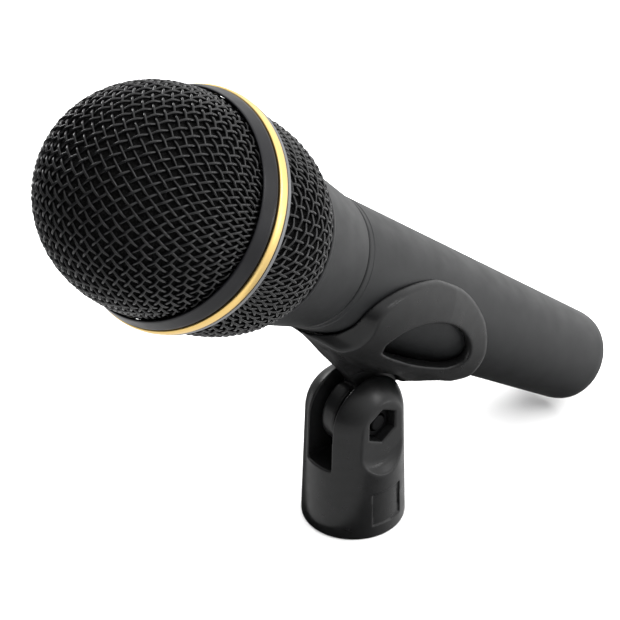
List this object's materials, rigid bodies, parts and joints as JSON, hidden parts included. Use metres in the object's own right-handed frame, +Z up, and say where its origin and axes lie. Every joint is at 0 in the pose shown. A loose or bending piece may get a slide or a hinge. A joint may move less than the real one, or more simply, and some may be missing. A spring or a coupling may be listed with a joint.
{
  "type": "dynamic microphone",
  "caption": "Handheld dynamic microphone with a woven ball grille, tapered handle and male connector, lying in a tilting moulded stand clip.",
  "frame": {"origin": "middle of the whole object's footprint, at the level of the ground that the clip's base stands on", "axes": "+Z up; +X across, along the clip's hinge; the head points to -Y and up, and the connector to +Y and down"},
  "size_m": [0.053, 0.1598, 0.1363],
  "materials": {
    "black_wire": "black lacquered woven steel wire, semi-gloss",
    "black_lacquer": "black satin lacquer",
    "gold_trim": "satin gold anodised",
    "grey_metal": "satin grey",
    "charcoal_paint": "matt soft-touch charcoal",
    "black_foam": "open-cell foam, black",
    "brass": "machined",
    "steel": "machined",
    "black_plastic": "moulded, matt",
    "clip_plastic": "moulded, satin",
    "black_rubber": "moulded rubber",
    "green_board": "circuit board",
    "copper_wire": "enamelled copper winding",
    "clear_film": "thin formed polyester film",
    "black_sleeve": "insulated lead",
    "red_sleeve": "insulated lead",
    "white_sleeve": "insulated lead"
  },
  "bodies": {
    "base": {"clip_base": "clip_plastic", "thread_insert": "brass", "pivot_screw": "steel", "pivot_nut": "steel"},
    "cradle": {"clip_cradle": "clip_plastic"},
    "microphone": {"handle_shell": "charcoal_paint", "thread_ring": "brass", "xlr_insert": "black_plastic", "xlr_set_screw": "steel", "xlr_pin_1": "brass", "xlr_pin_2": "brass", "xlr_pin_3": "brass", "shock_mount": "black_rubber", "acoustic_chamber": "black_plastic", "terminal_board": "green_board", "capsule_housing": "black_plastic", "magnet_cup": "steel", "magnet": "grey_metal", "pole_piece": "steel", "voice_coil": "copper_wire", "diaphragm": "clear_film", "capsule_cap": "black_plastic", "lead_ground": "black_sleeve", "lead_hot": "red_sleeve", "lead_cold": "white_sleeve"},
    "head": {"grille_front_mesh": "black_wire", "grille_band": "black_lacquer", "trim_ring": "gold_trim", "rear_hoop": "grey_metal", "grille_rear_mesh": "black_wire", "grille_collar": "charcoal_paint", "foam_liner_front": "black_foam", "foam_liner_rear": "black_foam"}
  },
  "joints": [
    {"name": "clip_tilt", "type": "hinge", "parent": "base", "child": "cradle", "pos_m": [0, 0.00271, 0.02916], "axis": [1, 0, 0], "range_deg": [-40, 65]},
    {"name": "mic_pull_out", "type": "slide", "parent": "cradle", "child": "microphone", "axis": [0, -0.7821, 0.6232], "range_m": [0, 0.11]},
    {"name": "head_unscrew", "type": "hinge", "parent": "microphone", "child": "head", "pos_m": [0, -0.04686, 0.10533], "axis": [0, -0.7821, 0.6232], "range_deg": [0, 1080]}
  ]
}
